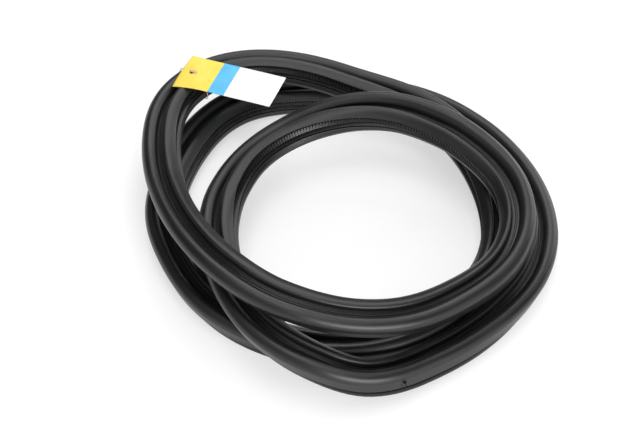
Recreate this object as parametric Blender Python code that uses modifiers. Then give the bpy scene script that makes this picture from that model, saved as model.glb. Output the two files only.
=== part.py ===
"""Trunk weatherstrip: one closed ring of black rubber seal, folded into a coil of three loops,
with a card tag on a nylon tie.

Metres, +Z up. The origin is on the floor, at the middle of the coil. The photograph's
viewer stands on the -Y side.
"""
import math

import bpy
import numpy as np
from mathutils import Vector
from mathutils.geometry import intersect_point_line

MM = 0.001

# Strip section, seen with the coil's centre on the left: sloping lobe, groove, bulb.
LOBE_WIDTH = 13.4 * MM
LOBE_TOP = 26.8 * MM
LOBE_TIP = 18.8 * MM
GROOVE_WIDTH = 5.8 * MM
GROOVE_FLOOR = 19.0 * MM
GROOVE_DRAFT = 0.9 * MM
BULB_WIDTH = 16.0 * MM
BULB_HEIGHT = 17.0 * MM
BULB_FOOT_INSET = 1.0 * MM
STRIP_HEIGHT = 29.2 * MM
STRIP_WIDTH = LOBE_WIDTH + GROOVE_WIDTH + BULB_WIDTH
# Carrier below them: a channel that opens towards the coil's centre.
LOWER_LEG = 7.4 * MM
SLOT_WIDTH = 1.4 * MM
SLOT_DEPTH = 9.6 * MM
UPPER_LEG = 2.6 * MM
RECESS_HEIGHT = 5.0 * MM
RECESS_DEPTH = 4.0 * MM
CARRIER_BACK = 4.0 * MM
CREASE_HEIGHT = 9.0 * MM
CREASE_DEPTH = 1.8 * MM
CREASE_OPENING = 1.4 * MM
BASE_CHAMFER = 1.4 * MM
LEG_DRAFT = 0.6 * MM
LEG_TIP_ROUND = 0.3 * MM
RECESS_FILLET = 0.8 * MM

# Clearance that separate bodies and neighbouring loops keep.
GAP = 0.3 * MM
LAYER = STRIP_HEIGHT + GAP

# Finish of the sweep.
STATIONS = 138
BULB_STEPS = 7
LOBE_STEPS = 5

# Card tag, tie and hole.
TAG_LENGTH = 105.0 * MM
TAG_WIDTH = 47.0 * MM
TAG_THICKNESS = 0.6 * MM
TAG_CENTRE = (-125.8 * MM, 162.2 * MM)
TAG_TURN = math.radians(-19.5)
TAG_CURL_LENGTH = 30.0 * MM
TAG_CURL_DROP = 4.5 * MM
TAG_CURL_SLANT = 0.55
TAG_END_BOW = 3.0 * MM
HOLE_DIAMETER = 5.0 * MM
HOLE_FROM_END = 11.0 * MM
TIE_DIAMETER = 0.9 * MM
TIE_SLACK = 1.1 * MM
TIE_STEPS = 28
TIE_HEAD_LENGTH = 9.0 * MM
TIE_HEAD_WIDTH = 2.4 * MM
TIE_HEAD_HEIGHT = 1.2 * MM

# Route of the strip's base line: azimuth from +X in degrees, radius in strip widths,
# height in layers, and outward lean in degrees. It runs three times round the coil.
ROUTE = (
    # Over the back, and down the left side on top of the lower loops.
    (60, 4.70, 0.92, 8), (75, 4.84, 1.10, 15), (90, 5.13, 1.24, 22), (105, 5.84, 1.38, 25),
    (122, 6.64, 1.48, 25), (140, 6.62, 1.54, 20), (155, 5.91, 1.58, 16), (170, 5.22, 1.70, 15),
    (185, 4.75, 1.93, 14), (205, 4.42, 2.24, 16), (225, 4.30, 2.38, 19), (245, 4.29, 2.26, 20),
    (270, 4.22, 1.84, 20), (290, 4.20, 1.56, 18), (310, 4.25, 1.38, 10), (330, 4.52, 1.32, 0),
    (350, 4.63, 1.40, -5), (370, 4.45, 1.58, -7), (388, 4.07, 1.85, -10),
    # Inner ring over the back, then out from under itself to the front and the right.
    (405, 3.74, 2.10, -13), (425, 3.50, 2.14, -7), (445, 3.31, 2.02, 6), (465, 3.21, 1.78, 21),
    (485, 3.24, 1.48, 34), (505, 3.30, 1.28, 39), (525, 3.37, 1.16, 34), (545, 3.56, 1.12, 20),
    (565, 3.81, 1.16, 15), (585, 4.24, 1.20, 15), (603, 4.78, 1.12, 12), (618, 5.17, 0.92, 6),
    (635, 5.38, 0.42, -4), (650, 5.14, 0.16, -8), (667, 4.98, 0.10, -6), (685, 4.96, 0.12, 4),
    (703, 5.02, 0.21, 18), (722, 5.07, 0.27, 25), (740, 5.11, 0.27, 25), (758, 5.20, 0.27, 25),
    (775, 5.42, 0.20, 18), (792, 5.74, 0.07, 8),
    # Lowest loop: under the back, the left side, the front and up the right side.
    (810, 5.94, 0, 0), (827, 6.16, 0.03, 3), (843, 6.30, 0.10, 8), (860, 5.95, 0.14, 12),
    (877, 5.58, 0.14, 12), (893, 5.30, 0.14, 12), (910, 4.89, 0.14, 12), (928, 4.64, 0.14, 10),
    (948, 4.43, 0.07, 4), (970, 4.22, 0, 0), (993, 4.09, 0, 0), (1017, 3.95, 0, 0),
    (1040, 3.92, 0, 0), (1062, 4.04, 0, 0), (1082, 4.15, 0.15, 0), (1102, 4.26, 0.46, 0),
    (1122, 4.46, 0.76, 3),
)
LOOPS = 3


def start_empty():
    for item in list(bpy.data.objects):
        bpy.data.objects.remove(item)


def collection(name):
    group = bpy.data.collections.new(name)
    bpy.context.scene.collection.children.link(group)
    return group


def material(name, colour, roughness, metallic=0.0):
    finish = bpy.data.materials.new(name)
    finish.use_nodes = True
    shader = finish.node_tree.nodes["Principled BSDF"]
    shader.inputs["Base Color"].default_value = (*colour, 1.0)
    shader.inputs["Roughness"].default_value = roughness
    shader.inputs["Metallic"].default_value = metallic
    return finish


def ellipse_arc(centre, radii, start, stop, steps):
    """Points on an ellipse from one angle to another, both in degrees."""
    angles = [math.radians(start + (stop - start) * i / steps) for i in range(steps + 1)]
    return [(centre[0] + radii[0] * math.cos(a), centre[1] + radii[1] * math.sin(a)) for a in angles]


def arch(start, start_handle, end_handle, end, steps):
    """Points on one cubic bend from start to end, pulled towards its two handles."""
    points = []
    for i in range(steps + 1):
        t = i / steps
        weights = ((1 - t) ** 3, 3 * t * (1 - t) ** 2, 3 * t * t * (1 - t), t ** 3)
        places = (start, start_handle, end_handle, end)
        points.append(tuple(sum(w * place[axis] for w, place in zip(weights, places)) for axis in (0, 1)))
    return points


def strip_section():
    """Outline of the strip, counter-clockwise: across is outward, up is up, base on zero."""
    inner = -STRIP_WIDTH / 2
    outer = STRIP_WIDTH / 2
    back = outer - CARRIER_BACK
    bulb_centre = (outer - BULB_WIDTH / 2, STRIP_HEIGHT - BULB_HEIGHT / 2)
    groove_inner = inner + LOBE_WIDTH
    groove_outer = groove_inner + GROOVE_WIDTH
    slot_floor = LOWER_LEG
    slot_roof = slot_floor + SLOT_WIDTH
    recess = inner + RECESS_DEPTH
    recess_floor = slot_roof + UPPER_LEG
    recess_roof = recess_floor + RECESS_HEIGHT
    lobe_swell = (LOBE_TOP - GROOVE_FLOOR) * 4 / 3

    base_and_back = [
        (back - BASE_CHAMFER, 0.0),
        (back, BASE_CHAMFER),
        (back, CREASE_HEIGHT - 2 * CREASE_OPENING),
        (back - CREASE_DEPTH, CREASE_HEIGHT - CREASE_OPENING),
        (outer - BULB_FOOT_INSET, CREASE_HEIGHT + CREASE_OPENING),
    ]
    bulb = ellipse_arc(bulb_centre, (BULB_WIDTH / 2, BULB_HEIGHT / 2), -8, 165, BULB_STEPS)
    groove = [(groove_outer + GROOVE_DRAFT, GROOVE_FLOOR)]
    lobe = arch(
        (groove_inner - GROOVE_DRAFT, GROOVE_FLOOR),
        (groove_inner + GROOVE_DRAFT, GROOVE_FLOOR + lobe_swell),
        (groove_inner - LOBE_WIDTH / 2, LOBE_TOP + GROOVE_DRAFT),
        (inner, LOBE_TIP),
        LOBE_STEPS)
    channel = [
        (recess, recess_roof),
        (recess, recess_floor + RECESS_FILLET),
        (inner + LEG_TIP_ROUND, slot_roof + LEG_TIP_ROUND),
        (inner + SLOT_DEPTH, slot_roof),
        (inner + SLOT_DEPTH, slot_floor),
        (inner, slot_floor),
        (inner + LEG_DRAFT, BASE_CHAMFER * 2),
        (inner + 2 * BASE_CHAMFER, 0.0),
    ]
    return base_and_back + bulb + groove + lobe + channel


def closed_spline(knots, values, period, at):
    """Smooth closed cubic through the values at the knots, read off at other places."""
    count = len(knots)
    step = np.append(np.diff(knots), knots[0] + period - knots[-1])
    slope = (np.roll(values, -1) - values) / step
    system = np.zeros((count, count))
    right = np.zeros(count)
    for i in range(count):
        system[i, i - 1] += step[i - 1]
        system[i, i] += 2 * (step[i - 1] + step[i])
        system[i, (i + 1) % count] += step[i]
        right[i] = 6 * (slope[i] - slope[i - 1])
    bend = np.linalg.solve(system, right)
    first = np.searchsorted(knots, at, side="right") - 1
    second = (first + 1) % count
    span = step[first]
    b = (at - knots[first]) / span
    a = 1 - b
    cubic = ((a ** 3 - a) * bend[first] + (b ** 3 - b) * bend[second]) * span ** 2 / 6
    return a * values[first] + b * values[second] + cubic


def closed_steps(knots, values, period, at):
    """Smooth closed curve through the values that never swings past them."""
    count = len(knots)
    step = np.append(np.diff(knots), knots[0] + period - knots[-1])
    slope = (np.roll(values, -1) - values) / step
    before = np.roll(slope, 1)
    same_way = before * slope > 0
    rate = np.zeros(count)
    rate[same_way] = 2 * before[same_way] * slope[same_way] / (before[same_way] + slope[same_way])
    first = np.searchsorted(knots, at, side="right") - 1
    second = (first + 1) % count
    span = step[first]
    b = (at - knots[first]) / span
    rise = b * b * (3 - 2 * b)
    bulge = b * (1 - b) * span * ((1 - b) * rate[first] - b * rate[second])
    return values[first] + (values[second] - values[first]) * rise + bulge


def route_at(azimuths):
    """Base line points and leans at azimuths counted on through all the loops."""
    knots = np.array([row[0] for row in ROUTE], dtype=float)
    radii, heights, leans = np.array([row[1:] for row in ROUTE], dtype=float).T
    period = 360.0 * LOOPS
    radius = closed_spline(knots, radii, period, azimuths)
    height = closed_steps(knots, heights, period, azimuths)
    lean = closed_steps(knots, leans, period, azimuths)
    angle = np.radians(azimuths)
    points = np.stack([
        radius * STRIP_WIDTH * np.cos(angle),
        radius * STRIP_WIDTH * np.sin(angle),
        height * LAYER,
    ], axis=1)
    return points, lean


def even_route(stations):
    """The route at stations that are the same distance apart along it."""
    start = ROUTE[0][0]
    fine = np.linspace(start, start + 360.0 * LOOPS, 40 * stations, endpoint=False)
    points, _ = route_at(fine)
    chords = np.linalg.norm(np.roll(points, -1, axis=0) - points, axis=1)
    travelled = np.concatenate([[0.0], np.cumsum(chords)])
    wanted = np.linspace(0.0, travelled[-1], stations, endpoint=False)
    azimuths = np.interp(wanted, travelled, np.append(fine, start + 360.0 * LOOPS))
    return route_at(azimuths)


def poly_curve(name, points, group):
    """A closed straight-sided curve object through the points."""
    curve = bpy.data.curves.new(name, "CURVE")
    curve.dimensions = "3D"
    curve.resolution_u = 1
    curve.render_resolution_u = 0
    spline = curve.splines.new("POLY")
    spline.points.add(len(points) - 1)
    for slot, point in zip(spline.points, points):
        slot.co = (*point, 1.0)
    spline.use_cyclic_u = True
    item = bpy.data.objects.new(name, curve)
    group.objects.link(item)
    return item


def curve_to_mesh(item, group):
    """Replaces a curve object by a mesh object of the same name and place."""
    name = item.name
    bpy.context.view_layer.update()
    evaluated = item.evaluated_get(bpy.context.evaluated_depsgraph_get())
    mesh = bpy.data.meshes.new_from_object(evaluated)
    place = item.matrix_world.copy()
    curve = item.data
    bpy.data.objects.remove(item)
    bpy.data.curves.remove(curve)
    mesh.name = name
    solid = bpy.data.objects.new(name, mesh)
    solid.matrix_world = place
    group.objects.link(solid)
    return solid


def build_strip(group, guides, finish):
    """The seal: its section swept round the closed route, leaning as the route says."""
    clockwise = [(u, v, 0.0) for u, v in reversed(strip_section())]
    outline = poly_curve("strip_section", clockwise, guides)
    outline.data.dimensions = "2D"
    outline.data.fill_mode = "NONE"
    outline.hide_render = True
    outline.display_type = "WIRE"
    points, leans = even_route(STATIONS)
    item = poly_curve("weatherstrip", points, group)
    item.data.twist_mode = "Z_UP"
    item.data.bevel_mode = "OBJECT"
    item.data.bevel_object = outline
    for slot, lean in zip(item.data.splines[0].points, leans):
        slot.tilt = math.radians(lean)
    strip = curve_to_mesh(item, group)
    strip.data.materials.clear()
    strip.data.materials.append(finish)
    strip.data.shade_smooth()
    strip.data.set_sharp_from_angle(angle=math.radians(40))
    return strip


def tag_axes():
    along = Vector((math.cos(TAG_TURN), math.sin(TAG_TURN), 0.0))
    across = Vector((-along.y, along.x, 0.0))
    return along, across


def tag_seat(strip):
    """Height of the card's underside: the tie lies between the card and the strip."""
    along, across = tag_axes()
    centre = Vector((*TAG_CENTRE, 0.0))
    tops = []
    for vertex in strip.data.vertices:
        offset = vertex.co - centre
        if abs(offset.dot(along)) < TAG_LENGTH / 2 and abs(offset.dot(across)) < TAG_WIDTH / 2:
            tops.append(vertex.co.z)
    return max(tops) + TIE_SLACK + TIE_DIAMETER + GAP


def tag_sag(along, across):
    """How far the card's near left corner hangs below its flat part."""
    from_corner = along + TAG_LENGTH / 2 + TAG_CURL_SLANT * (across + TAG_WIDTH / 2)
    inside = max(0.0, 1.0 - from_corner / TAG_CURL_LENGTH)
    return TAG_CURL_DROP * inside ** 2


def tag_bow(along, across):
    """How far the punched end is cut beyond square: nothing at its far corner, most at the near one."""
    share = across / TAG_WIDTH + 0.5
    near_end = max(0.0, 1.0 - (along + TAG_LENGTH / 2) / TAG_CURL_LENGTH)
    return TAG_END_BOW * (1.0 - share * share) * near_end


def hole_place(seat):
    """Centre of the punched hole, on the card's underside."""
    along, _ = tag_axes()
    offset = HOLE_FROM_END - TAG_LENGTH / 2
    flat = Vector((*TAG_CENTRE, seat)) + along * offset
    return flat - Vector((0.0, 0.0, tag_sag(offset, 0.0)))


def adopt(item, name, group):
    """Names a new primitive and puts it in a collection."""
    item.name = item.data.name = name
    for owner in list(item.users_collection):
        owner.objects.unlink(item)
    group.objects.link(item)
    return item


def boolean(item, other, operation):
    cut = item.modifiers.new(other.name, "BOOLEAN")
    cut.operation = operation
    cut.solver = "EXACT"
    cut.object = other
    other.hide_render = True
    other.display_type = "WIRE"


def build_tag(group, cutters, finish, seat):
    """The card: a flat sheet with a curled corner and a punched hole."""
    bpy.ops.mesh.primitive_grid_add(x_subdivisions=28, y_subdivisions=8, size=1.0)
    tag = adopt(bpy.context.active_object, "tag", group)
    for vertex in tag.data.vertices:
        vertex.co.x *= TAG_LENGTH
        vertex.co.y *= TAG_WIDTH
        vertex.co.z = -tag_sag(vertex.co.x, vertex.co.y)
        vertex.co.x -= tag_bow(vertex.co.x, vertex.co.y)
    tag.location = (*TAG_CENTRE, seat)
    tag.rotation_euler = (0.0, 0.0, TAG_TURN)
    shell = tag.modifiers.new("card", "SOLIDIFY")
    shell.thickness = TAG_THICKNESS
    shell.offset = 1.0
    tag.data.materials.append(finish)
    bpy.ops.mesh.primitive_cylinder_add(
        vertices=24, radius=HOLE_DIAMETER / 2, depth=STRIP_HEIGHT, location=hole_place(seat))
    boolean(tag, adopt(bpy.context.active_object, "tag_hole", cutters), "DIFFERENCE")
    return tag


def section_frame_at(place):
    """The route point of the upper loop beside a place, with its outward and upward axes."""
    azimuths = np.linspace(ROUTE[2][0], ROUTE[8][0], 400)
    points, leans = route_at(azimuths)
    nearest = int(np.argmin(np.linalg.norm(points[:, :2] - np.array(place[:2]), axis=1)))
    forward = Vector(points[nearest + 1] - points[nearest - 1]).normalized()
    level = forward.cross(Vector((0.0, 0.0, 1.0))).normalized()
    rise = level.cross(forward)
    lean = math.radians(leans[nearest])
    outward = level * math.cos(lean) - rise * math.sin(lean)
    upward = rise * math.cos(lean) + level * math.sin(lean)
    return Vector(points[nearest]), outward, upward


def tie_loop(origin, outward, upward):
    """Points of the filament, drawn tight round the strip's section."""
    section = strip_section()
    reach = TIE_DIAMETER / 2 + TIE_SLACK
    loop = []
    for i in range(TIE_STEPS):
        angle = 2 * math.pi * i / TIE_STEPS
        across, up = math.cos(angle), math.sin(angle)
        corner = max(section, key=lambda point: point[0] * across + point[1] * up)
        loop.append(origin + outward * (corner[0] + reach * across) + upward * (corner[1] + reach * up))
    return loop


def nearest_on_loop(loop, place):
    """The point of a closed run of straight lines that is nearest to a place."""
    best = loop[0]
    for start, end in zip(loop, loop[1:] + loop[:1]):
        point, share = intersect_point_line(place, start, end)
        if 0.0 <= share <= 1.0 and (point - place).length < (best - place).length:
            best = point
    return best


def build_tie(group, cutters, finish, seat):
    """Nylon tie: a filament round the strip, a stem through the card's hole and a flat head."""
    hole = hole_place(seat)
    origin, outward, upward = section_frame_at(hole)
    loop = tie_loop(origin, outward, upward)
    filament = poly_curve("tag_tie", loop, group)
    filament.data.bevel_depth = TIE_DIAMETER / 2
    filament.data.bevel_resolution = 2
    tie = curve_to_mesh(filament, group)
    tie.data.materials.clear()
    tie.data.materials.append(finish)

    foot = nearest_on_loop(loop, hole)
    head_base = hole.z + TAG_THICKNESS + GAP
    top = Vector((hole.x, hole.y, head_base + TIE_HEAD_HEIGHT / 2))
    stem_run = top - foot
    bpy.ops.mesh.primitive_cylinder_add(
        vertices=10, radius=TIE_DIAMETER / 2, depth=stem_run.length, location=(top + foot) / 2)
    stem = adopt(bpy.context.active_object, "tie_stem", cutters)
    stem.rotation_euler = stem_run.to_track_quat("Z", "Y").to_euler()
    bpy.ops.mesh.primitive_cube_add(size=1.0, location=top)
    head = adopt(bpy.context.active_object, "tie_head", cutters)
    for vertex in head.data.vertices:
        vertex.co = (vertex.co.x * TIE_HEAD_LENGTH, vertex.co.y * TIE_HEAD_WIDTH, vertex.co.z * TIE_HEAD_HEIGHT)
    head.rotation_euler = (0.0, 0.0, TAG_TURN)
    rounding = head.modifiers.new("rounding", "BEVEL")
    rounding.width = TIE_HEAD_HEIGHT / 3
    rounding.segments = 2
    boolean(tie, stem, "UNION")
    boolean(tie, head, "UNION")
    return tie


def stand_on_origin(strip, items):
    """Moves everything so that the coil stands on the floor, centred on the origin."""
    places = [vertex.co for vertex in strip.data.vertices]
    low = Vector([min(place[axis] for place in places) for axis in range(3)])
    high = Vector([max(place[axis] for place in places) for axis in range(3)])
    middle = Vector(((low.x + high.x) / 2, (low.y + high.y) / 2, low.z))
    for item in items:
        item.location -= middle


def main():
    start_empty()
    group = collection("trunk_weatherstrip")
    cutters = collection("cutters")
    rubber = material("black_rubber", (0.028, 0.028, 0.030), 0.55)
    card = material("tag_card", (0.86, 0.84, 0.72), 0.60)
    nylon = material("clear_nylon", (0.72, 0.70, 0.66), 0.35)
    strip = build_strip(group, cutters, rubber)
    seat = tag_seat(strip)
    build_tag(group, cutters, card, seat)
    build_tie(group, cutters, nylon, seat)
    stand_on_origin(strip, list(group.objects) + list(cutters.objects))


main()
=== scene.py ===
"""Looks of the trunk weatherstrip: a closed ring of black rubber seal, folded into a coil of
three loops, with a card tag on a nylon tie.

Metres, +Z up. The origin is on the floor, at the middle of the coil. The photograph's
viewer stands on the -Y side.
"""
import math

import bpy
import numpy as np
from mathutils import Matrix, Vector
from mathutils.geometry import intersect_point_line


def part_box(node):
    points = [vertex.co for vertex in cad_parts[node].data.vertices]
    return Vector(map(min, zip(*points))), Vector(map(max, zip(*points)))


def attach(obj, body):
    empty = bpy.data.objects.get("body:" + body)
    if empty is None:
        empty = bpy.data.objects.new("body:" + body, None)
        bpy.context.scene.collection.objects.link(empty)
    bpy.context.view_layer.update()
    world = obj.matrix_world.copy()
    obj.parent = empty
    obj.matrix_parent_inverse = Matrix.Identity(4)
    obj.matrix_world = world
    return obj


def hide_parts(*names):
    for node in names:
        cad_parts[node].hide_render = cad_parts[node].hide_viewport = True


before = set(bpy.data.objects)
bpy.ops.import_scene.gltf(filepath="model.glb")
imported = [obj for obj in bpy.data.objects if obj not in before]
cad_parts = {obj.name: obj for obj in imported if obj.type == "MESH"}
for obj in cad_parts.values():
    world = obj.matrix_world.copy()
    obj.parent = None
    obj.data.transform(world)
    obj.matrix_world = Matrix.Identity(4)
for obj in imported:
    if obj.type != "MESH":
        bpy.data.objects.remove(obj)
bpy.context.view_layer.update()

MM = 0.001

# Strip section, seen with the coil's centre on the left: sloping lobe, groove, bulb.
LOBE_WIDTH = 13.4 * MM
LOBE_TOP = 26.8 * MM
LOBE_TIP = 18.8 * MM
GROOVE_WIDTH = 5.8 * MM
GROOVE_FLOOR = 19.0 * MM
GROOVE_DRAFT = 0.9 * MM
BULB_WIDTH = 16.0 * MM
BULB_HEIGHT = 17.0 * MM
BULB_FOOT_INSET = 1.0 * MM
STRIP_HEIGHT = 29.2 * MM
STRIP_WIDTH = LOBE_WIDTH + GROOVE_WIDTH + BULB_WIDTH
# Carrier below them: a channel that opens towards the coil's centre.
LOWER_LEG = 7.4 * MM
SLOT_WIDTH = 1.4 * MM
SLOT_DEPTH = 9.6 * MM
UPPER_LEG = 2.6 * MM
RECESS_HEIGHT = 5.0 * MM
RECESS_DEPTH = 4.0 * MM
CARRIER_BACK = 4.0 * MM
CREASE_HEIGHT = 9.0 * MM
CREASE_DEPTH = 1.8 * MM
CREASE_OPENING = 1.4 * MM
BASE_CHAMFER = 1.4 * MM
LEG_DRAFT = 0.6 * MM
SLOT_LIP_RISE = 0.4 * MM
SLOT_LIP_INSET = 0.2 * MM
# Finer than the solid: a ridge in the groove, and the radii that the corners are rounded to.
RIDGE_WIDTH = 2.0 * MM
RIDGE_HEIGHT = 0.8 * MM
SHARP_CORNER = 0.3 * MM
SLOT_CORNER = 0.5 * MM
LIP_CORNER = 0.6 * MM
SOFT_CORNER = 0.7 * MM
RECESS_CORNER = 0.8 * MM
WIDE_CORNER = 0.9 * MM
BASE_CORNER = 1.0 * MM

GAP = 0.3 * MM
LAYER = STRIP_HEIGHT + GAP

# How finely the strip is drawn, what share of a side a rounded corner may take, and how many
# degrees to either side of a station its heading is read.
STATIONS = 480
BULB_ARC = (-8, 172)
BULB_STEPS = 26
LOBE_STEPS = 20
ROUNDING_STEPS = 3
ROUNDING_SHARE = 0.45
ROUTE_SAMPLES = 20000
HEADING_STEP = 0.2

# Teeth of the carrier's wire core, showing through the rubber at the back of the recess.
TOOTH_PITCH = 3.3 * MM
TOOTH_WIDTH = 1.7 * MM
TOOTH_PROUD = 2.4 * MM
TOOTH_SUNK = 0.5 * MM
TOOTH_INSET = 0.3 * MM
TOOTH_TAPER = 0.6

# Vent pierced in the bulb's flank, near the front.
VENT_AZIMUTH = 642.0
VENT_HEIGHT = 15.6 * MM
VENT_DIAMETER = 4.2 * MM
VENT_DEPTH = 1.6 * MM
VENT_RISE = math.radians(22)
VENT_SIDES = 28
SHARP_ANGLE = math.radians(40)

# Card tag, tie and hole.
TAG_LENGTH = 105.0 * MM
TAG_WIDTH = 47.0 * MM
TAG_THICKNESS = 0.6 * MM
TAG_CENTRE = (-125.8 * MM, 162.2 * MM)
TAG_TURN = math.radians(-19.5)
TAG_CURL_LENGTH = 30.0 * MM
TAG_CURL_DROP = 4.5 * MM
TAG_CURL_SLANT = 0.55
TAG_END_BOW = 3.0 * MM
TAG_WAVE = 0.25 * MM
TAG_COLUMNS = 84
TAG_ROWS = 38
HOLE_DIAMETER = 5.0 * MM
HOLE_FROM_END = 11.0 * MM
TIE_DIAMETER = 0.9 * MM
TIE_SLACK = 1.1 * MM
TIE_HEAD_LENGTH = 9.0 * MM
TIE_HEAD_WIDTH = 2.4 * MM
TIE_HEAD_HEIGHT = 1.2 * MM
TIE_STEPS = 84
TIE_SIDES = 12
STEM_STEPS = 6
HEAD_SLICES = 14
# Azimuths that the upper loop is searched between for the place of the tie.
TIE_SEARCH = (90.0, 185.0)
TIE_SEARCH_STEPS = 400

# Linear colours, in pairs that cloudy noise mixes, and the shares of the card's length at which
# its yellow and its blue end.
RUBBER_COLOURS = ((0.0075, 0.0075, 0.008), (0.018, 0.018, 0.019))
# Painted shade: near black laid over the rubber in the crease below the bulb.
CREASE_PAINTED_SHADE = (0.003, 0.003, 0.003)
CARD_YELLOWS = ((0.93, 0.68, 0.075), (0.96, 0.76, 0.14))
CARD_BLUES = ((0.085, 0.46, 0.80), (0.12, 0.54, 0.86))
CARD_WHITES = ((0.86, 0.86, 0.86), (0.91, 0.91, 0.91))
YELLOW_END = 0.345
BLUE_END = 0.517
NYLON_COLOURS = ((0.62, 0.40, 0.26), (0.72, 0.52, 0.38))

# Floor: half of its width, its grey, and the light that it gives itself.
FLOOR_REACH = 6.0
FLOOR_GREY = 0.50
FLOOR_GLOW = 0.54

# Camera: elevation and distance from the middle of the coil, and how far the view is shifted.
VIEW_ELEVATION = math.radians(47)
VIEW_DISTANCE = 1.6
VIEW_LENS = 90.0
VIEW_SENSOR = 36.0
VIEW_SHIFT = (-0.05, 0.05)

# Studio lamps: how far they stand, and the height that they are aimed at. Then name, azimuth
# from the viewer's side towards the right, elevation, size and power of each.
LAMP_DISTANCE = 2.2
LAMP_AIM_HEIGHT = 0.03
WIDE_LAMP = (1.5, 0.95)
SQUARE_LAMP = (1.5, 1.5)
LAMPS = (
    ("front_low", 17, 14, WIDE_LAMP, 40.0),
    ("front_right_low", 48, 14, WIDE_LAMP, 6.0),
    ("back_right_low", 135, 14, WIDE_LAMP, 13.0),
    ("front_left_low", 318, 14, WIDE_LAMP, 3.0),
    ("front_high", 5, 45, SQUARE_LAMP, 10.0),
    ("right_high", 120, 45, SQUARE_LAMP, 4.0),
    ("back_high", 175, 45, SQUARE_LAMP, 19.0),
    ("left_high", 290, 45, SQUARE_LAMP, 3.0),
    ("overhead", 0, 89, SQUARE_LAMP, 22.0),
)
ROOM_LIGHT = 0.10

# Route of the strip's base line: azimuth from +X in degrees, radius in strip widths,
# height in layers, and outward lean in degrees. It runs three times round the coil.
ROUTE = (
    # Over the back, and down the left side on top of the lower loops.
    (60, 4.70, 0.92, 8), (75, 4.84, 1.10, 15), (90, 5.13, 1.24, 22), (105, 5.84, 1.38, 25),
    (122, 6.64, 1.48, 25), (140, 6.62, 1.54, 20), (155, 5.91, 1.58, 16), (170, 5.22, 1.70, 15),
    (185, 4.75, 1.93, 14), (205, 4.42, 2.24, 16), (225, 4.30, 2.38, 19), (245, 4.29, 2.26, 20),
    (270, 4.22, 1.84, 20), (290, 4.20, 1.56, 18), (310, 4.25, 1.38, 10), (330, 4.52, 1.32, 0),
    (350, 4.63, 1.40, -5), (370, 4.45, 1.58, -7), (388, 4.07, 1.85, -10),
    # Inner ring over the back, then out from under itself to the front and the right.
    (405, 3.74, 2.10, -13), (425, 3.50, 2.14, -7), (445, 3.31, 2.02, 6), (465, 3.21, 1.78, 21),
    (485, 3.24, 1.48, 34), (505, 3.30, 1.28, 39), (525, 3.37, 1.16, 34), (545, 3.56, 1.12, 20),
    (565, 3.81, 1.16, 15), (585, 4.24, 1.20, 15), (603, 4.78, 1.12, 12), (618, 5.17, 0.92, 6),
    (635, 5.38, 0.42, -4), (650, 5.14, 0.16, -8), (667, 4.98, 0.10, -6), (685, 4.96, 0.12, 4),
    (703, 5.02, 0.21, 18), (722, 5.07, 0.27, 25), (740, 5.11, 0.27, 25), (758, 5.20, 0.27, 25),
    (775, 5.42, 0.20, 18), (792, 5.74, 0.07, 8),
    # Lowest loop: under the back, the left side, the front and up the right side.
    (810, 5.94, 0, 0), (827, 6.16, 0.03, 3), (843, 6.30, 0.10, 8), (860, 5.95, 0.14, 12),
    (877, 5.58, 0.14, 12), (893, 5.30, 0.14, 12), (910, 4.89, 0.14, 12), (928, 4.64, 0.14, 10),
    (948, 4.43, 0.07, 4), (970, 4.22, 0, 0), (993, 4.09, 0, 0), (1017, 3.95, 0, 0),
    (1040, 3.92, 0, 0), (1062, 4.04, 0, 0), (1082, 4.15, 0.15, 0), (1102, 4.26, 0.46, 0),
    (1122, 4.46, 0.76, 3),
)
LOOPS = 3


def ellipse_arc(centre, radii, start, stop, steps):
    """Points on an ellipse from one angle to another, both in degrees."""
    angles = [math.radians(start + (stop - start) * i / steps) for i in range(steps + 1)]
    return [(centre[0] + radii[0] * math.cos(a), centre[1] + radii[1] * math.sin(a)) for a in angles]


def arch(start, start_handle, end_handle, end, steps):
    """Points on one cubic bend from start to end, pulled towards its two handles."""
    points = []
    for i in range(steps + 1):
        t = i / steps
        weights = ((1 - t) ** 3, 3 * t * (1 - t) ** 2, 3 * t * t * (1 - t), t ** 3)
        places = (start, start_handle, end_handle, end)
        points.append(tuple(
            sum(w * place[axis] for w, place in zip(weights, places)) for axis in (0, 1)))
    return points


def rounded(corners):
    """A closed outline whose corners, given as across, up and radius, are rounded off."""
    points = []
    count = len(corners)
    for i, (across, up, radius) in enumerate(corners):
        here = Vector((across, up))
        if radius == 0:
            points.append(here)
            continue
        before = Vector(corners[i - 1][:2]) - here
        after = Vector(corners[(i + 1) % count][:2]) - here
        half = before.angle(after) / 2
        most = ROUNDING_SHARE * min(before.length, after.length)
        reach = min(radius / math.tan(half), most)
        start = here + before.normalized() * reach
        end = here + after.normalized() * reach
        for step in range(ROUNDING_STEPS + 1):
            t = step / ROUNDING_STEPS
            points.append(start * (1 - t) ** 2 + here * 2 * t * (1 - t) + end * t * t)
    return points


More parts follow.
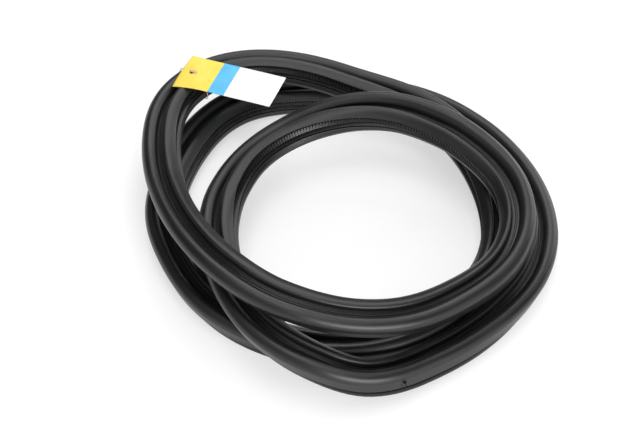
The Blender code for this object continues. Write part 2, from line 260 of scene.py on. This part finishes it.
def strip_section():
    """Outline of the strip, counter-clockwise: across is outward, up is up, base on zero."""
    inner = -STRIP_WIDTH / 2
    outer = STRIP_WIDTH / 2
    back = outer - CARRIER_BACK
    bulb_centre = (outer - BULB_WIDTH / 2, STRIP_HEIGHT - BULB_HEIGHT / 2)
    groove_inner = inner + LOBE_WIDTH
    groove_outer = groove_inner + GROOVE_WIDTH
    groove_middle = (groove_inner + groove_outer) / 2
    slot_floor = LOWER_LEG
    slot_roof = slot_floor + SLOT_WIDTH
    recess = inner + RECESS_DEPTH
    recess_floor = slot_roof + UPPER_LEG
    recess_roof = recess_floor + RECESS_HEIGHT
    lobe_swell = (LOBE_TOP - GROOVE_FLOOR) * 4 / 3

    base_and_back = [
        (0.0, 0.0, 0.0),
        (back, 0.0, BASE_CHAMFER * 1.4),
        (back, CREASE_HEIGHT - 2 * CREASE_OPENING, SOFT_CORNER),
        (back - CREASE_DEPTH, CREASE_HEIGHT - CREASE_OPENING, SHARP_CORNER),
        (outer - BULB_FOOT_INSET, CREASE_HEIGHT + CREASE_OPENING, WIDE_CORNER),
    ]
    bulb = ellipse_arc(bulb_centre, (BULB_WIDTH / 2, BULB_HEIGHT / 2), *BULB_ARC, BULB_STEPS)
    ridge_top = GROOVE_FLOOR + RIDGE_HEIGHT
    groove = [
        (groove_outer + GROOVE_DRAFT, GROOVE_FLOOR, WIDE_CORNER),
        (groove_middle + RIDGE_WIDTH / 2, GROOVE_FLOOR, SHARP_CORNER),
        (groove_middle + RIDGE_WIDTH / 4, ridge_top, SHARP_CORNER),
        (groove_middle - RIDGE_WIDTH / 4, ridge_top, SHARP_CORNER),
        (groove_middle - RIDGE_WIDTH / 2, GROOVE_FLOOR, SHARP_CORNER),
        (groove_inner - GROOVE_DRAFT, GROOVE_FLOOR, SOFT_CORNER),
    ]
    lobe = arch(
        (groove_inner - GROOVE_DRAFT, GROOVE_FLOOR),
        (groove_inner + GROOVE_DRAFT, GROOVE_FLOOR + lobe_swell),
        (groove_inner - LOBE_WIDTH / 2, LOBE_TOP + GROOVE_DRAFT),
        (inner, LOBE_TIP),
        LOBE_STEPS)
    channel = [
        (inner, LOBE_TIP, LIP_CORNER),
        (recess, recess_roof, LIP_CORNER),
        (recess, recess_floor, RECESS_CORNER),
        (inner, slot_roof + SLOT_LIP_RISE, SLOT_CORNER),
        (inner + SLOT_LIP_INSET, slot_roof, SHARP_CORNER),
        (inner + SLOT_DEPTH, slot_roof, 0.0),
        (inner + SLOT_DEPTH, slot_floor, 0.0),
        (inner, slot_floor, SOFT_CORNER),
        (inner + LEG_DRAFT, BASE_CHAMFER * 2, SOFT_CORNER),
        (inner + 2 * BASE_CHAMFER, 0.0, BASE_CORNER),
    ]
    curved = [(across, up, 0.0) for across, up in bulb]
    sloped = [(across, up, 0.0) for across, up in lobe[1:-1]]
    return rounded(base_and_back + curved + groove + sloped + channel)


def closed_spline(knots, values, period, at):
    """Smooth closed cubic through the values at the knots, read off at other places."""
    count = len(knots)
    step = np.append(np.diff(knots), knots[0] + period - knots[-1])
    slope = (np.roll(values, -1) - values) / step
    system = np.zeros((count, count))
    right = np.zeros(count)
    for i in range(count):
        system[i, i - 1] += step[i - 1]
        system[i, i] += 2 * (step[i - 1] + step[i])
        system[i, (i + 1) % count] += step[i]
        right[i] = 6 * (slope[i] - slope[i - 1])
    bend = np.linalg.solve(system, right)
    first = np.searchsorted(knots, at, side="right") - 1
    second = (first + 1) % count
    span = step[first]
    b = (at - knots[first]) / span
    a = 1 - b
    cubic = ((a ** 3 - a) * bend[first] + (b ** 3 - b) * bend[second]) * span ** 2 / 6
    return a * values[first] + b * values[second] + cubic


def closed_steps(knots, values, period, at):
    """Smooth closed curve through the values that never swings past them."""
    count = len(knots)
    step = np.append(np.diff(knots), knots[0] + period - knots[-1])
    slope = (np.roll(values, -1) - values) / step
    before = np.roll(slope, 1)
    same_way = before * slope > 0
    rate = np.zeros(count)
    rate[same_way] = 2 * before[same_way] * slope[same_way] / (before[same_way] + slope[same_way])
    first = np.searchsorted(knots, at, side="right") - 1
    second = (first + 1) % count
    span = step[first]
    b = (at - knots[first]) / span
    rise = b * b * (3 - 2 * b)
    bulge = b * (1 - b) * span * ((1 - b) * rate[first] - b * rate[second])
    return values[first] + (values[second] - values[first]) * rise + bulge


def route_at(azimuths):
    """Base line points and leans at azimuths counted on through all the loops."""
    knots = np.array([row[0] for row in ROUTE], dtype=float)
    radii, heights, leans = np.array([row[1:] for row in ROUTE], dtype=float).T
    period = 360.0 * LOOPS
    azimuths = knots[0] + np.mod(azimuths - knots[0], period)
    radius = closed_spline(knots, radii, period, azimuths)
    height = closed_steps(knots, heights, period, azimuths)
    lean = closed_steps(knots, leans, period, azimuths)
    angle = np.radians(azimuths)
    points = np.stack([
        radius * STRIP_WIDTH * np.cos(angle),
        radius * STRIP_WIDTH * np.sin(angle),
        height * LAYER,
    ], axis=1)
    return points, lean


def even_azimuths(stations):
    """Azimuths of stations that are the same distance apart, and the route's whole length."""
    start = ROUTE[0][0]
    fine = np.linspace(start, start + 360.0 * LOOPS, ROUTE_SAMPLES, endpoint=False)
    points, _ = route_at(fine)
    chords = np.linalg.norm(np.roll(points, -1, axis=0) - points, axis=1)
    travelled = np.concatenate([[0.0], np.cumsum(chords)])
    wanted = np.linspace(0.0, travelled[-1], stations, endpoint=False)
    return np.interp(wanted, travelled, np.append(fine, start + 360.0 * LOOPS)), travelled[-1]


def section_frames(azimuths):
    """Base line points there, with the outward and upward axes of the leaning section."""
    points, leans = route_at(azimuths)
    ahead, _ = route_at(azimuths + HEADING_STEP)
    behind, _ = route_at(azimuths - HEADING_STEP)
    forward = ahead - behind
    forward /= np.linalg.norm(forward, axis=1)[:, None]
    level = np.stack([forward[:, 1], -forward[:, 0], np.zeros(len(forward))], axis=1)
    level /= np.linalg.norm(level, axis=1)[:, None]
    rise = np.cross(level, forward)
    lean = np.radians(leans)[:, None]
    outward = level * np.cos(lean) - rise * np.sin(lean)
    upward = rise * np.cos(lean) + level * np.sin(lean)
    return points, outward, upward


def mesh_object(name, points, faces, finish):
    mesh = bpy.data.meshes.new(name)
    mesh.from_pydata([tuple(point) for point in points], [], [tuple(face) for face in faces])
    mesh.materials.append(finish)
    mesh.shade_smooth()
    item = bpy.data.objects.new(name, mesh)
    bpy.context.scene.collection.objects.link(item)
    return item


def ring_faces(rings, size):
    """Four-sided faces between closed rings of the same size, the last joined to the first."""
    ring, spot = np.meshgrid(np.arange(rings), np.arange(size), indexing="ij")
    after = (ring + 1) % rings
    beside = (spot + 1) % size
    corners = (ring * size + spot, after * size + spot, after * size + beside, ring * size + beside)
    return np.stack([corner.ravel() for corner in corners], axis=1)


def tooth_points(azimuths):
    """Eight corners of each tooth on the back wall of the recess, and its six faces."""
    wall = -STRIP_WIDTH / 2 + RECESS_DEPTH
    recess_floor = LOWER_LEG + SLOT_WIDTH + UPPER_LEG
    low = recess_floor + TOOTH_INSET
    high = recess_floor + RECESS_HEIGHT - TOOTH_INSET
    points, outward, upward = section_frames(azimuths)
    forward = np.cross(upward, outward)
    corners = []
    for across, narrow in ((wall + TOOTH_SUNK, 1.0), (wall - TOOTH_PROUD, TOOTH_TAPER)):
        for up, side in ((low, -1), (low, 1), (high, 1), (high, -1)):
            height = (low + high) / 2 + (up - (low + high) / 2) * (0.5 + narrow / 2)
            along = side * narrow * TOOTH_WIDTH / 2
            corners.append(points + outward * across + upward * height + forward * along)
    points = np.stack(corners, axis=1).reshape(-1, 3)
    one = np.array([
        (0, 1, 2, 3), (7, 6, 5, 4), (4, 5, 1, 0), (5, 6, 2, 1), (6, 7, 3, 2), (7, 4, 0, 3)])
    faces = (one[None] + 8 * np.arange(len(azimuths))[:, None, None]).reshape(-1, 4)
    return points, faces


def build_strip(finish):
    """The seal: its rounded section swept round the closed route, with the core's teeth."""
    section = np.array([tuple(point) for point in strip_section()])
    azimuths, length = even_azimuths(STATIONS)
    points, outward, upward = section_frames(azimuths)
    places = (points[:, None, :]
              + outward[:, None, :] * section[None, :, 0, None]
              + upward[:, None, :] * section[None, :, 1, None]).reshape(-1, 3)
    faces = ring_faces(STATIONS, len(section))
    teeth, _ = even_azimuths(round(length / TOOTH_PITCH))
    tooth_places, tooth_faces = tooth_points(teeth)
    all_places = np.concatenate([places, tooth_places])
    all_faces = np.concatenate([faces, tooth_faces + len(places)])
    strip = mesh_object("strip", all_places, all_faces, finish)
    lay_out(strip, section, length, len(faces))
    mark_painted_crease_shade(strip, section)
    pierce_vent(strip, finish)
    return strip


def lay_out(strip, section, length, swept):
    """Texture co-ordinates in metres: along the strip, and round its section."""
    steps = np.linalg.norm(np.roll(section, -1, axis=0) - section, axis=1)
    around = np.concatenate([[0.0], np.cumsum(steps)])
    size = len(section)
    spacing = length / STATIONS
    ring, spot = np.meshgrid(np.arange(STATIONS), np.arange(size), indexing="ij")
    corners = ((ring, spot), (ring + 1, spot), (ring + 1, spot + 1), (ring, spot + 1))
    flat = np.stack([
        np.stack([a.ravel() * spacing, around[b.ravel()]], axis=1) for a, b in corners], axis=1)
    layer = strip.data.uv_layers.new(name="along_and_round")
    values = np.zeros((len(strip.data.loops), 2), dtype=np.float32)
    values[:swept * 4] = flat.reshape(-1, 2)
    layer.data.foreach_set("uv", values.ravel())


def mark_painted_crease_shade(strip, section):
    """Notes which points lie in the crease below the bulb, where light is scarce and shade is painted
    in.
    """
    across, up = section.T
    low, high = CREASE_HEIGHT - 2.5 * CREASE_OPENING, CREASE_HEIGHT + CREASE_OPENING
    inside = (across > 0) & (up > low) & (up < high)
    values = np.zeros(len(strip.data.vertices), dtype=np.float32)
    values[:STATIONS * len(section)] = np.tile(inside.astype(np.float32), STATIONS)
    strip.data.attributes.new("crease", "FLOAT", "POINT").data.foreach_set("value", values)


def pierce_vent(strip, finish):
    """A shallow round vent in the bulb's flank, drilled from a little above."""
    points, outward, upward = section_frames(np.array([VENT_AZIMUTH]))
    side, top = Vector(outward[0]), Vector(upward[0])
    axis = side * math.cos(VENT_RISE) + top * math.sin(VENT_RISE)
    flank = Vector(points[0]) + side * STRIP_WIDTH / 2 + top * VENT_HEIGHT
    path = [flank - axis * VENT_DEPTH, flank + axis * 2 * VENT_DEPTH]
    drill = mesh_object("drill", *tube(path, VENT_DIAMETER / 2, VENT_SIDES, False), finish)
    cut = strip.modifiers.new("vent", "BOOLEAN")
    cut.object = drill
    cut.operation = "DIFFERENCE"
    cut.solver = "EXACT"
    cut_strip = strip.evaluated_get(bpy.context.evaluated_depsgraph_get())
    pierced = bpy.data.meshes.new_from_object(cut_strip)
    strip.modifiers.clear()
    strip.data = pierced
    bpy.data.objects.remove(drill)
    pierced.set_sharp_from_angle(angle=SHARP_ANGLE)


def set_on(strip_piece, pieces):
    """Moves the pieces so that the strip stands where its CAD solid does."""
    places = np.array([vertex.co for vertex in strip_piece.data.vertices])
    low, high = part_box("weatherstrip")
    own_low, own_high = places.min(axis=0), places.max(axis=0)
    shift = Vector((
        (low.x + high.x - own_low[0] - own_high[0]) / 2,
        (low.y + high.y - own_low[1] - own_high[1]) / 2,
        low.z - own_low[2],
    ))
    for item in pieces:
        item.data.transform(Matrix.Translation(shift))
    return shift


def tag_axes():
    along = Vector((math.cos(TAG_TURN), math.sin(TAG_TURN), 0.0))
    across = Vector((-along.y, along.x, 0.0))
    return along, across


def tag_sag(along, across):
    """How far the card's near left corner hangs below its flat part."""
    from_corner = along + TAG_LENGTH / 2 + TAG_CURL_SLANT * (across + TAG_WIDTH / 2)
    inside = max(0.0, 1.0 - from_corner / TAG_CURL_LENGTH)
    return TAG_CURL_DROP * inside ** 2


def tag_bow(along, across):
    """How far the punched end is cut beyond square: nothing at its far corner, most near by."""
    share = across / TAG_WIDTH + 0.5
    near_end = max(0.0, 1.0 - (along + TAG_LENGTH / 2) / TAG_CURL_LENGTH)
    return TAG_END_BOW * (1.0 - share * share) * near_end


def hole_place(seat):
    """Centre of the punched hole, on the card's underside."""
    along, _ = tag_axes()
    offset = HOLE_FROM_END - TAG_LENGTH / 2
    flat = Vector((*TAG_CENTRE, seat)) + along * offset
    return flat - Vector((0.0, 0.0, tag_sag(offset, 0.0)))


def build_tag(finish, seat):
    """The card: a thin sheet with a curled corner and a punched hole."""
    along, across = tag_axes()
    hole = Vector((HOLE_FROM_END - TAG_LENGTH / 2, 0.0))
    radius = HOLE_DIAMETER / 2
    flat = []
    for i in range(TAG_COLUMNS + 1):
        for j in range(TAG_ROWS + 1):
            x = (i / TAG_COLUMNS - 0.5) * TAG_LENGTH
            y = (j / TAG_ROWS - 0.5) * TAG_WIDTH
            flat.append(Vector((x, y)))
    faces = []
    for i in range(TAG_COLUMNS):
        for j in range(TAG_ROWS):
            a = i * (TAG_ROWS + 1) + j
            b = a + TAG_ROWS + 1
            face = (a, b, b + 1, a + 1)
            middle = sum((flat[k] for k in face), Vector((0.0, 0.0))) / 4
            if (middle - hole).length >= radius * 0.8:
                faces.append(face)
    edges = {pair for face in faces for pair in zip(face, face[1:] + face[:1])}
    rim = set()
    for a, b in edges:
        if (b, a) not in edges and (flat[a] - hole).length < radius * 2:
            rim.update((a, b))
    for k in rim:
        flat[k] = hole + (flat[k] - hole).normalized() * radius
    used = sorted({k for face in faces for k in face})
    place = {k: n for n, k in enumerate(used)}
    points = []
    for k in used:
        x, y = flat[k]
        wave = TAG_WAVE * math.sin(x / TAG_LENGTH * 5.0 + 0.6) * math.cos(y / TAG_WIDTH * 2.2)
        centre = Vector((*TAG_CENTRE, seat - tag_sag(x, y) + wave))
        points.append(centre + along * (x - tag_bow(x, y)) + across * y)
    sides = [tuple(place[k] for k in face) for face in faces]
    tag = mesh_object("card_tag", points, sides, finish)
    layer = tag.data.uv_layers.new(name="card")
    for loop in tag.data.loops:
        x, y = flat[used[loop.vertex_index]]
        layer.data[loop.index].uv = (x / TAG_LENGTH + 0.5, y / TAG_WIDTH + 0.5)
    shell = tag.modifiers.new("card", "SOLIDIFY")
    shell.thickness = TAG_THICKNESS
    shell.offset = 1.0
    return tag


def section_frame_at(place):
    """The route point of the upper loop beside a place, with its outward and upward axes."""
    azimuths = np.linspace(*TIE_SEARCH, TIE_SEARCH_STEPS)
    points, outward, upward = section_frames(azimuths)
    nearest = int(np.argmin(np.linalg.norm(points[:, :2] - np.array(place[:2]), axis=1)))
    return Vector(points[nearest]), Vector(outward[nearest]), Vector(upward[nearest])


def tie_loop(origin, outward, upward):
    """Points of the filament, drawn tight round the strip's section."""
    section = strip_section()
    reach = TIE_DIAMETER / 2 + TIE_SLACK
    loop = []
    for i in range(TIE_STEPS):
        angle = 2 * math.pi * i / TIE_STEPS
        across, up = math.cos(angle), math.sin(angle)
        corner = max(section, key=lambda point: point[0] * across + point[1] * up)
        out, high = corner[0] + reach * across, corner[1] + reach * up
        loop.append(origin + outward * out + upward * high)
    return loop


def nearest_on_loop(loop, place):
    """The point of a closed run of straight lines that is nearest to a place."""
    best = loop[0]
    for start, end in zip(loop, loop[1:] + loop[:1]):
        point, share = intersect_point_line(place, start, end)
        if 0.0 <= share <= 1.0 and (point - place).length < (best - place).length:
            best = point
    return best


def closed_off(rings, sides):
    """Faces between rings of points in a row, with a flat face over each end."""
    faces = [tuple(face) for face in ring_faces(rings, sides)[:, ::-1]]
    faces = [face for face in faces if max(face) - min(face) < 2 * sides]
    faces.append(tuple(reversed(range(sides))))
    faces.append(tuple(range((rings - 1) * sides, rings * sides)))
    return faces


def tube(path, radius, sides, closed):
    """Points and faces of a round tube along a path."""
    rings = []
    count = len(path)
    side_way = None
    for i, place in enumerate(path):
        before = path[i - 1] if closed or i > 0 else place
        after = path[(i + 1) % count] if closed or i < count - 1 else place
        forward = (after - before).normalized()
        if side_way is None:
            side_way = forward.orthogonal()
        side_way = (side_way - forward * side_way.dot(forward)).normalized()
        other = forward.cross(side_way)
        for k in range(sides):
            turn = 2 * math.pi * k / sides
            rings.append(place + (side_way * math.cos(turn) + other * math.sin(turn)) * radius)
    if not closed:
        return rings, closed_off(count, sides)
    return rings, [tuple(face) for face in ring_faces(count, sides)[:, ::-1]]


def squared(value):
    """A sine or cosine pushed outwards, so that a round section gets flatter sides."""
    return math.copysign(abs(value) ** 0.6, value)


def tie_head(middle):
    """Points and faces of the flat head, along the card and blunt at both ends."""
    along, across = tag_axes()
    points = []
    for i in range(HEAD_SLICES):
        t = -1 + 2 * i / (HEAD_SLICES - 1)
        slice_middle = middle + along * t * TIE_HEAD_LENGTH / 2
        full = max(0.12, (1 - abs(t) ** 5)) ** 0.5
        for k in range(TIE_SIDES):
            turn = 2 * math.pi * (k + 0.5) / TIE_SIDES
            wide = squared(math.cos(turn)) * TIE_HEAD_WIDTH / 2 * full
            high = squared(math.sin(turn)) * TIE_HEAD_HEIGHT / 2 * full
            points.append(slice_middle + across * wide + Vector((0, 0, high)))
    return points, closed_off(HEAD_SLICES, TIE_SIDES)


def build_tie(finish, seat):
    """Nylon tie: a filament round the strip, a stem through the card's hole and a flat head."""
    hole = hole_place(seat)
    origin, outward, upward = section_frame_at(hole)
    loop = tie_loop(origin, outward, upward)
    foot = nearest_on_loop(loop, hole)
    top = Vector((hole.x, hole.y, hole.z + TAG_THICKNESS + GAP + TIE_HEAD_HEIGHT / 2))
    stem = [foot.lerp(top, i / STEM_STEPS) for i in range(STEM_STEPS + 1)]
    points, faces = tube(loop, TIE_DIAMETER / 2, TIE_SIDES, True)
    for more_points, more_faces in (
            tube(stem, TIE_DIAMETER / 2, TIE_SIDES, False),
            tie_head(top)):
        faces += [tuple(k + len(points) for k in face) for face in more_faces]
        points += more_points
    return mesh_object("nylon_tie", points, faces, finish)


class Nodes:
    """Short ways to lay out a material's nodes."""

    def __init__(self, name):
        self.material = bpy.data.materials.new(name)
        self.material.use_nodes = True
        self.tree = self.material.node_tree
        self.shader = self.tree.nodes["Principled BSDF"]

    def add(self, kind, **values):
        node = self.tree.nodes.new(kind)
        for key, value in values.items():
            setattr(node, key, value)
        return node

    def link(self, source, target):
        self.tree.links.new(source, target)

    def mapping(self, layer, scale):
        place = self.add("ShaderNodeUVMap", uv_map=layer)
        sized = self.add("ShaderNodeMapping")
        sized.inputs["Scale"].default_value = scale
        self.link(place.outputs["UV"], sized.inputs["Vector"])
        return sized.outputs["Vector"]

    def noise(self, vector, scale, detail=3.0, roughness=0.5):
        node = self.add("ShaderNodeTexNoise")
        node.inputs["Scale"].default_value = scale
        node.inputs["Detail"].default_value = detail
        node.inputs["Roughness"].default_value = roughness
        self.link(vector, node.inputs["Vector"])
        return node.outputs["Fac"]

    def spread(self, value, low, high, to_low=0.0, to_high=1.0):
        node = self.add("ShaderNodeMapRange")
        ends = {"From Min": low, "From Max": high, "To Min": to_low, "To Max": to_high}
        for key, number in ends.items():
            node.inputs[key].default_value = number
        self.link(value, node.inputs["Value"])
        return node.outputs["Result"]

    def mix(self, share, first, second):
        node = self.add("ShaderNodeMix", data_type="RGBA")
        for value, socket in ((share, "Factor"), (first, "A"), (second, "B")):
            target = node.inputs[socket]
            if isinstance(value, tuple):
                target.default_value = (*value, 1.0)
            else:
                self.link(value, target)
        return node.outputs["Result"]

    def calculate(self, operation, first, second):
        node = self.add("ShaderNodeMath", operation=operation)
        for value, target in ((first, node.inputs[0]), (second, node.inputs[1])):
            if isinstance(value, (int, float)):
                target.default_value = value
            else:
                self.link(value, target)
        return node.outputs["Value"]

    def bump(self, height, strength, distance, below=None):
        node = self.add("ShaderNodeBump")
        node.inputs["Strength"].default_value = strength
        node.inputs["Distance"].default_value = distance
        self.link(height, node.inputs["Height"])
        if below is not None:
            self.link(below, node.inputs["Normal"])
        return node.outputs["Normal"]


def rubber_finish():
    """Black extruded rubber: fine skin, faint lines along it and a little grey bloom."""
    kit = Nodes("black_rubber_seal")
    solid = kit.add("ShaderNodeTexCoord").outputs["Object"]
    lines = kit.noise(kit.mapping("along_and_round", (9.0, 1500.0, 1.0)), 1.0, 2.0)
    streaks = kit.noise(kit.mapping("along_and_round", (22.0, 260.0, 1.0)), 1.0, 4.0)
    patches = kit.noise(solid, 16.0, 4.0, 0.6)
    grain = kit.noise(solid, 2600.0, 3.0, 0.65)
    patchy, streaky = kit.spread(patches, 0.42, 0.72), kit.spread(streaks, 0.40, 0.75)
    colour = kit.mix(kit.calculate("MULTIPLY", patchy, streaky), *RUBBER_COLOURS)
    # Painted shade: in the crease below the bulb the colour goes near black and the reflection is
    # weakened.
    crease = kit.add("ShaderNodeAttribute", attribute_name="crease").outputs["Fac"]
    kit.link(kit.mix(crease, colour, CREASE_PAINTED_SHADE), kit.shader.inputs["Base Color"])
    kit.link(kit.spread(streaks, 0.3, 0.7, 0.31, 0.44), kit.shader.inputs["Roughness"])
    fine = kit.bump(grain, 0.25, 0.00012)
    kit.link(kit.bump(lines, 0.22, 0.00022, fine), kit.shader.inputs["Normal"])
    kit.link(kit.spread(crease, 0.0, 1.0, 0.46, 0.08), kit.shader.inputs["Specular IOR Level"])
    return kit.material


def card_finish():
    """Printed card: a yellow end, a blue band and bare white, with paper fibres."""
    kit = Nodes("tag_card_print")
    place = kit.add("ShaderNodeUVMap", uv_map="card")
    parts = kit.add("ShaderNodeSeparateXYZ")
    kit.link(place.outputs["UV"], parts.inputs["Vector"])
    along = parts.outputs["X"]
    solid = kit.add("ShaderNodeTexCoord").outputs["Object"]
    fibres = kit.noise(solid, 900.0, 4.0, 0.7)
    clouds = kit.spread(kit.noise(solid, 60.0, 3.0), 0.3, 0.7)
    yellow = kit.mix(clouds, *CARD_YELLOWS)
    blue = kit.mix(clouds, *CARD_BLUES)
    white = kit.mix(clouds, *CARD_WHITES)
    after_yellow = kit.calculate("GREATER_THAN", along, YELLOW_END)
    after_blue = kit.calculate("GREATER_THAN", along, BLUE_END)
    printed = kit.mix(after_blue, kit.mix(after_yellow, yellow, blue), white)
    kit.link(printed, kit.shader.inputs["Base Color"])
    kit.link(kit.spread(fibres, 0.3, 0.7, 0.55, 0.72), kit.shader.inputs["Roughness"])
    kit.link(kit.bump(fibres, 0.3, 0.0001), kit.shader.inputs["Normal"])
    return kit.material


def nylon_finish():
    """Milky nylon with a warm tint."""
    kit = Nodes("clear_nylon_tie")
    solid = kit.add("ShaderNodeTexCoord").outputs["Object"]
    haze = kit.noise(solid, 500.0, 2.0)
    colour = kit.mix(kit.spread(haze, 0.3, 0.7), *NYLON_COLOURS)
    kit.link(colour, kit.shader.inputs["Base Color"])
    kit.link(kit.spread(haze, 0.3, 0.7, 0.25, 0.38), kit.shader.inputs["Roughness"])
    kit.link(kit.bump(haze, 0.1, 0.0001), kit.shader.inputs["Normal"])
    kit.shader.inputs["Transmission Weight"].default_value = 0.15
    return kit.material


def build_floor():
    """A plain white floor."""
    kit = Nodes("white_floor")
    kit.shader.inputs["Base Color"].default_value = (FLOOR_GREY, FLOOR_GREY, FLOOR_GREY, 1.0)
    kit.shader.inputs["Roughness"].default_value = 0.9
    kit.shader.inputs["Specular IOR Level"].default_value = 0.1
    kit.shader.inputs["Emission Color"].default_value = (1.0, 1.0, 1.0, 1.0)
    kit.shader.inputs["Emission Strength"].default_value = FLOOR_GLOW
    corners = [(x * FLOOR_REACH, y * FLOOR_REACH, 0.0) for x, y in ((-1, -1), (1, -1), (1, 1), (-1, 1))]
    floor = mesh_object("floor", corners, [(0, 1, 2, 3)], kit.material)


def area_light(name, azimuth, elevation, size, power):
    """A soft lamp aimed at the coil. Azimuths run from the viewer's side towards the right."""
    turn, rise = math.radians(azimuth), math.radians(elevation)
    target = Vector((0.0, 0.0, LAMP_AIM_HEIGHT))
    place = target + LAMP_DISTANCE * Vector((
        math.sin(turn) * math.cos(rise), -math.cos(turn) * math.cos(rise), math.sin(rise)))
    data = bpy.data.lights.new(name, "AREA")
    data.shape = "RECTANGLE"
    data.size, data.size_y = size
    data.energy = power
    light = bpy.data.objects.new(name, data)
    light.location = place
    light.rotation_euler = (target - place).to_track_quat("-Z", "Y").to_euler()
    light.visible_camera = False
    bpy.context.scene.collection.objects.link(light)


def light_room():
    """Soft studio light: low from the viewer's side and the far right, and gentle from above."""
    world = bpy.data.worlds.new("soft_room")
    world.use_nodes = True
    background = world.node_tree.nodes["Background"]
    background.inputs["Color"].default_value = (1.0, 1.0, 1.0, 1.0)
    background.inputs["Strength"].default_value = ROOM_LIGHT
    bpy.context.scene.world = world
    for lamp in LAMPS:
        area_light(*lamp)


def place_camera(shift):
    """The photograph's view, aimed at the middle of the route."""
    data = bpy.data.cameras.new("photo_view")
    data.lens = VIEW_LENS
    data.sensor_width = VIEW_SENSOR
    data.shift_x, data.shift_y = VIEW_SHIFT
    camera = bpy.data.objects.new("photo_view", data)
    camera.location = shift + Vector((
        0.0, -math.cos(VIEW_ELEVATION) * VIEW_DISTANCE, math.sin(VIEW_ELEVATION) * VIEW_DISTANCE))
    camera.rotation_euler = (math.pi / 2 - VIEW_ELEVATION, 0.0, 0.0)
    bpy.context.scene.collection.objects.link(camera)
    bpy.context.scene.camera = camera


def main():
    rubber = rubber_finish()
    card = card_finish()
    nylon = nylon_finish()
    strip = build_strip(rubber)
    strip_low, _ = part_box("weatherstrip")
    _, tag_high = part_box("tag")
    own = np.array([vertex.co for vertex in strip.data.vertices])
    lift = strip_low.z - own.min(axis=0)[2]
    seat = tag_high.z - TAG_THICKNESS - lift
    tag = build_tag(card, seat)
    tie = build_tie(nylon, seat)
    shift = set_on(strip, (strip, tag, tie))
    smooth = strip.modifiers.new("flat_faces", "WEIGHTED_NORMAL")
    smooth.keep_sharp = True
    for piece, node, finish in (
            (strip, "weatherstrip", "black_rubber"),
            (tag, "tag", "tag_card"),
            (tie, "tag_tie", "clear_nylon")):
        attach(piece, "root")
        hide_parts(node)
    build_floor()
    light_room()
    place_camera(shift)
    bpy.context.scene.view_settings.view_transform = "Standard"
    bpy.context.scene.view_settings.look = "None"


main()
